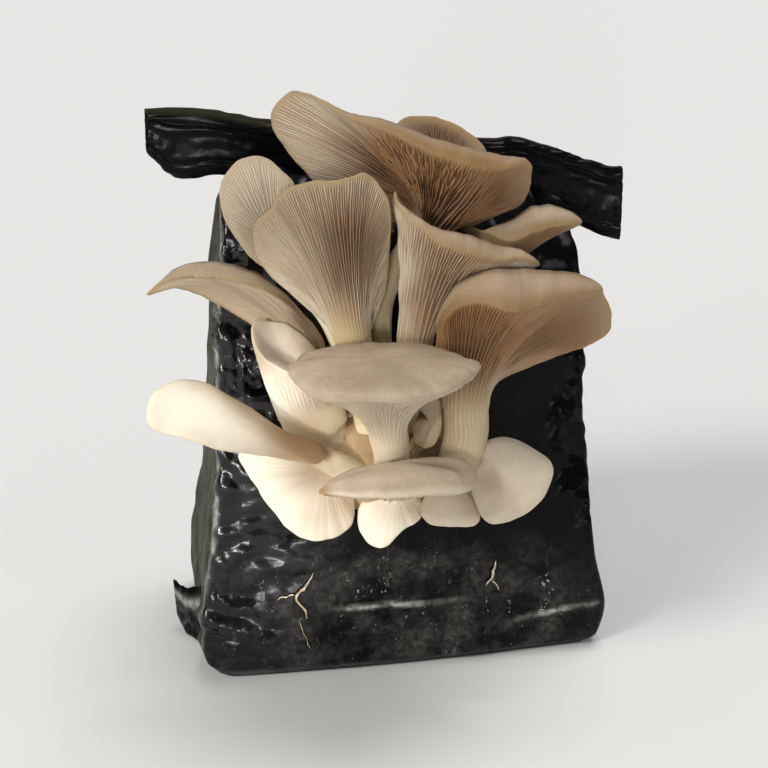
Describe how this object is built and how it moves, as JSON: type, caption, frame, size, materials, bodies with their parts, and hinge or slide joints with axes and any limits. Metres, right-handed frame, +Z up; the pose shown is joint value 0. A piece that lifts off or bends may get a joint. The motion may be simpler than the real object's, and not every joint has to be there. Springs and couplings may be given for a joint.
{
  "type": "elm oyster mushroom grow kit",
  "caption": "Black film bag packed round a block of substrate and folded over at the top, with a cluster of gilled oyster mushrooms growing out of a cut in its front.",
  "frame": {"origin": "on the floor under the middle of the bag, on the flat face that the kit stands on (mount base)", "axes": "+Z up, -Y the way the mushrooms face, +X to the right as seen from the front"},
  "size_m": [0.2612, 0.2361, 0.3097],
  "materials": {
    "film": "thin glossy black film, creased, with dust and a few pale scuffs",
    "substrate": "packed straw and sawdust bound by white mycelium",
    "flesh": "smooth creamy stem flesh with faint lengthwise ridges",
    "cap": "matt tan skin with an ochre rim over fine creamy brown gills"
  },
  "bodies": {
    "root": {"bag": "film", "substrate_block": "substrate", "cluster_base": "flesh", "cap_top": "cap", "cap_rear": "cap", "cap_upper_left": "cap", "cap_centre_left": "cap", "cap_centre_right": "cap", "cap_right_rear": "cap", "cap_right": "cap", "cap_front": "cap", "cap_left_inner": "cap", "cap_left_horn": "cap", "cap_lower_left": "cap", "cap_hanging_left": "cap", "cap_hanging_centre": "cap", "cap_front_curl": "cap", "cap_lower_right": "cap", "cap_lower_middle": "cap", "cap_shaded": "cap", "stem_top": "flesh", "stem_rear": "flesh", "stem_upper_left": "flesh", "stem_centre_left": "flesh", "stem_centre_right": "flesh", "stem_right_rear": "flesh", "stem_right": "flesh", "stem_front": "flesh", "stem_left_inner": "flesh", "stem_left_horn": "flesh", "stem_lower_left": "flesh", "stem_hanging_left": "flesh", "stem_hanging_centre": "flesh", "stem_front_curl": "flesh", "stem_lower_right": "flesh", "stem_lower_middle": "flesh", "stem_shaded": "flesh"}
  },
  "joints": []
}
